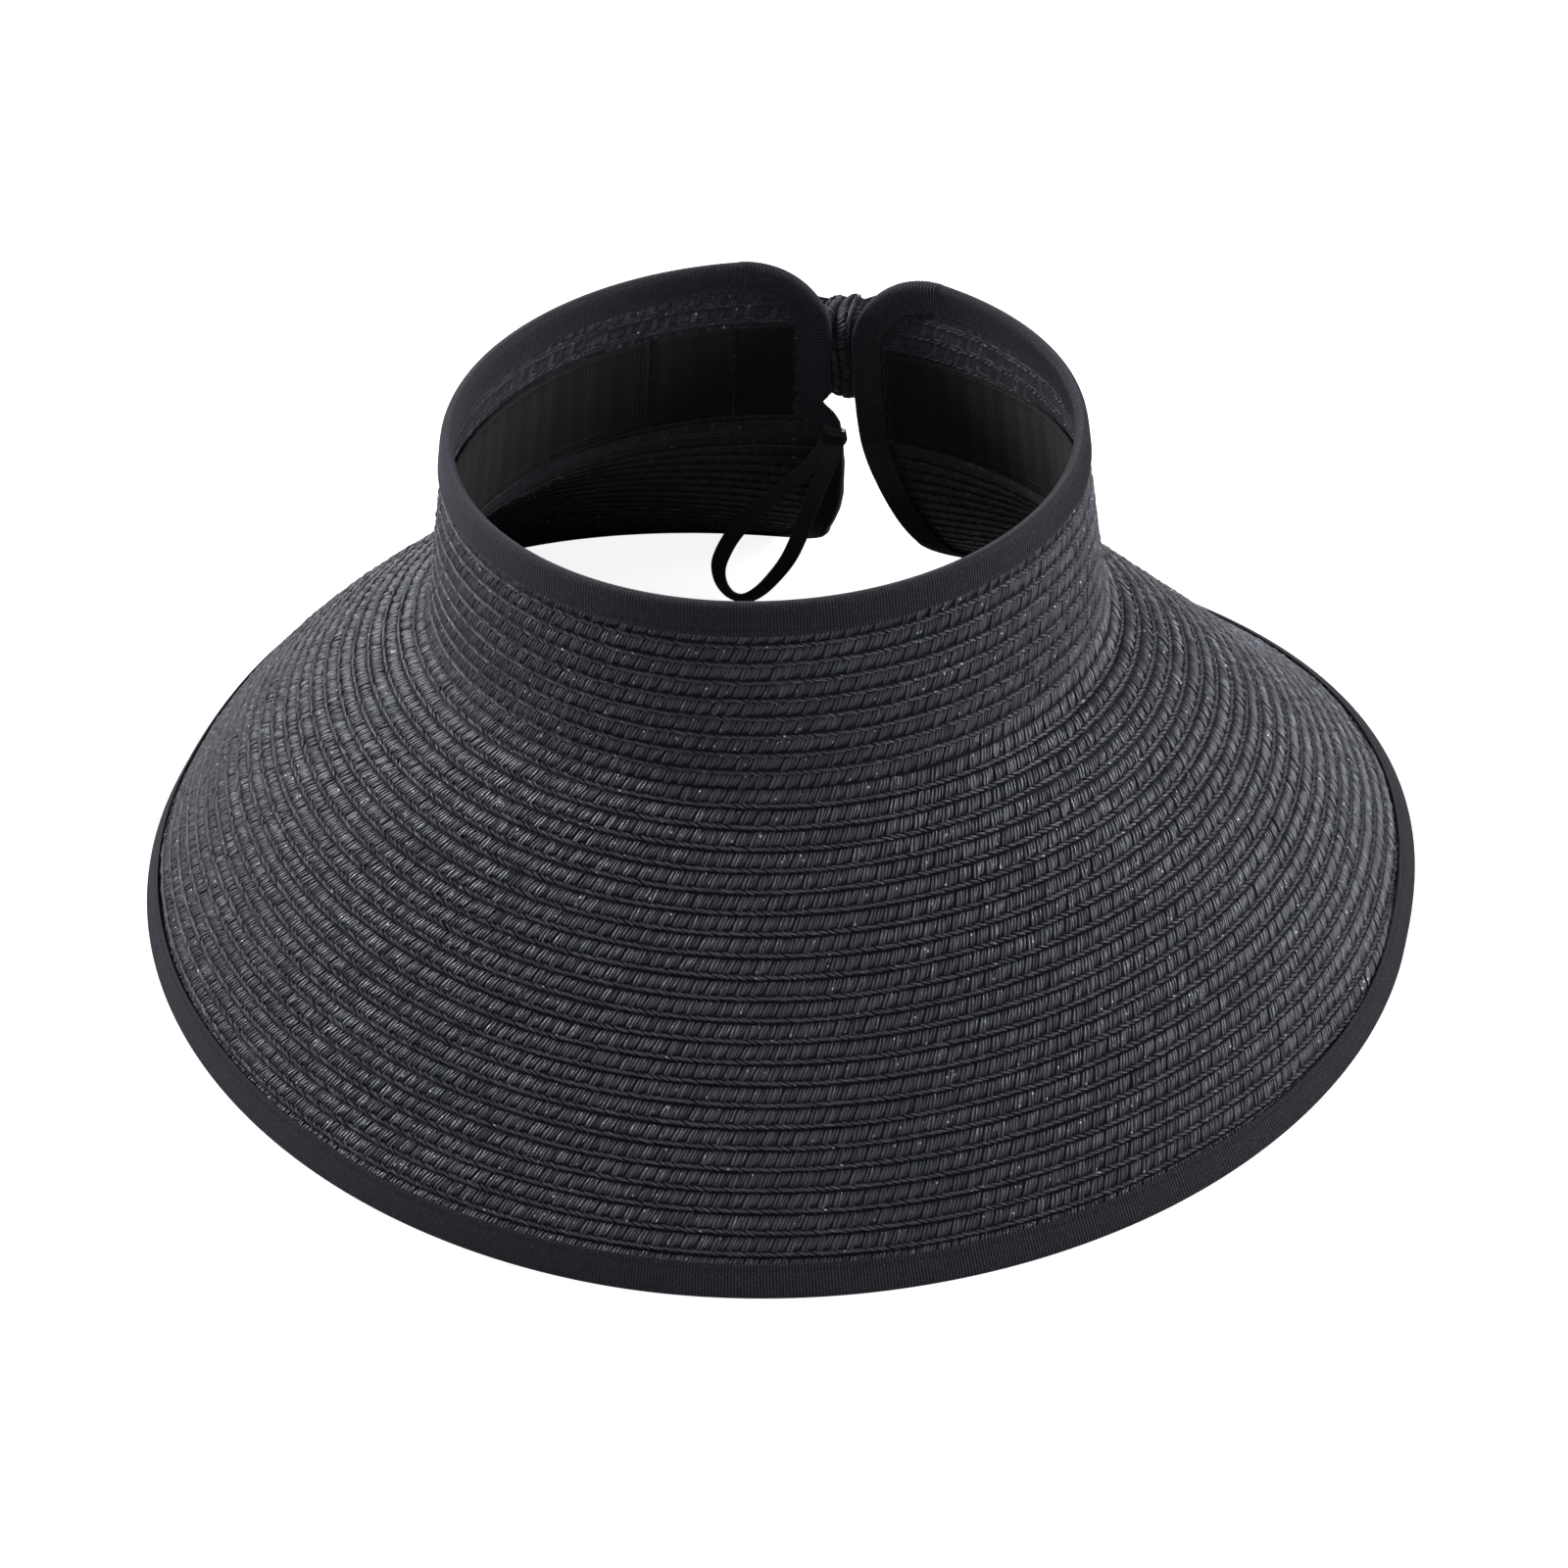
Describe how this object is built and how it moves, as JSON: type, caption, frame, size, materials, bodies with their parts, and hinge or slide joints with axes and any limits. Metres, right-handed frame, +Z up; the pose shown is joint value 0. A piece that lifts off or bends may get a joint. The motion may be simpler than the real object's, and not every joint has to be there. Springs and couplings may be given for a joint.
{
  "type": "sun visor",
  "caption": "Open-crown roll-up sun visor: wide brim and crown sewn from braid rows, taped edges, inner sweatband, bow closure at the back, elastic loop.",
  "frame": {"origin": "under the middle of the bounding box, in the plane the brim's rim stands on", "axes": "+X to the wearer's left, across the widest direction; +Y to the back, where the gap is; +Z up through the open crown"},
  "size_m": [0.3532, 0.3116, 0.1538],
  "materials": {
    "straw_braid": "charcoal paper-straw braid, matt with small glints",
    "edge_tape": "fine ribbed tape, matt",
    "sweatband_rib_knit": "rib knit, matt",
    "sweatband_plain_knit": "plain knit, matt",
    "bow_braid": "gathered paper-straw braid",
    "closure_webbing": "woven strap, matt",
    "hook_tape": "nylon hook tape",
    "loop_tape": "nylon loop tape, fuzzy",
    "elastic_cord": "braided elastic, matt"
  },
  "bodies": {
    "shell": {"brim_braid_row_01": "straw_braid", "brim_braid_row_02": "straw_braid", "brim_braid_row_03": "straw_braid", "brim_braid_row_04": "straw_braid", "brim_braid_row_05": "straw_braid", "brim_braid_row_06": "straw_braid", "brim_braid_row_07": "straw_braid", "brim_braid_row_08": "straw_braid", "brim_braid_row_09": "straw_braid", "brim_braid_row_10": "straw_braid", "brim_braid_row_11": "straw_braid", "brim_braid_row_12": "straw_braid", "brim_braid_row_13": "straw_braid", "brim_braid_row_14": "straw_braid", "brim_braid_row_15": "straw_braid", "brim_braid_row_16": "straw_braid", "brim_braid_row_17": "straw_braid", "brim_braid_row_18": "straw_braid", "brim_braid_row_19": "straw_braid", "brim_braid_row_20": "straw_braid", "brim_braid_row_21": "straw_braid", "brim_braid_row_22": "straw_braid", "brim_braid_row_23": "straw_braid", "brim_edge_tape": "edge_tape", "closure_loop_patch": "loop_tape", "crown_braid_row_01": "straw_braid", "crown_braid_row_02": "straw_braid", "crown_braid_row_03": "straw_braid", "crown_braid_row_04": "straw_braid", "crown_braid_row_05": "straw_braid", "crown_braid_row_06": "straw_braid", "crown_braid_row_07": "straw_braid", "crown_braid_row_08": "straw_braid", "crown_braid_row_09": "straw_braid", "crown_braid_row_10": "straw_braid", "crown_edge_tape": "edge_tape", "sweatband_end_panel": "sweatband_rib_knit", "sweatband_main": "sweatband_rib_knit", "sweatband_smooth_panel": "sweatband_plain_knit"},
    "bow_closure": {"closure_strap": "closure_webbing", "closure_hook_patch": "hook_tape", "bow_knot": "bow_braid", "bow_lobe_left": "bow_braid", "bow_lobe_right": "bow_braid"},
    "storage_loop": {"elastic_storage_loop": "elastic_cord"}
  },
  "joints": [
    {"name": "bow_closure_peel", "type": "hinge", "parent": "shell", "child": "bow_closure", "pos_m": [-0.04963, 0.0923, 0.10094], "axis": [0.0748, 0.0542, 0.9957], "range_deg": [0, 65]},
    {"name": "storage_loop_swing", "type": "hinge", "parent": "shell", "child": "storage_loop", "pos_m": [-0.0027, 0.1018, 0.082], "axis": [0, 1, 0], "range_deg": [-55, 15]}
  ]
}
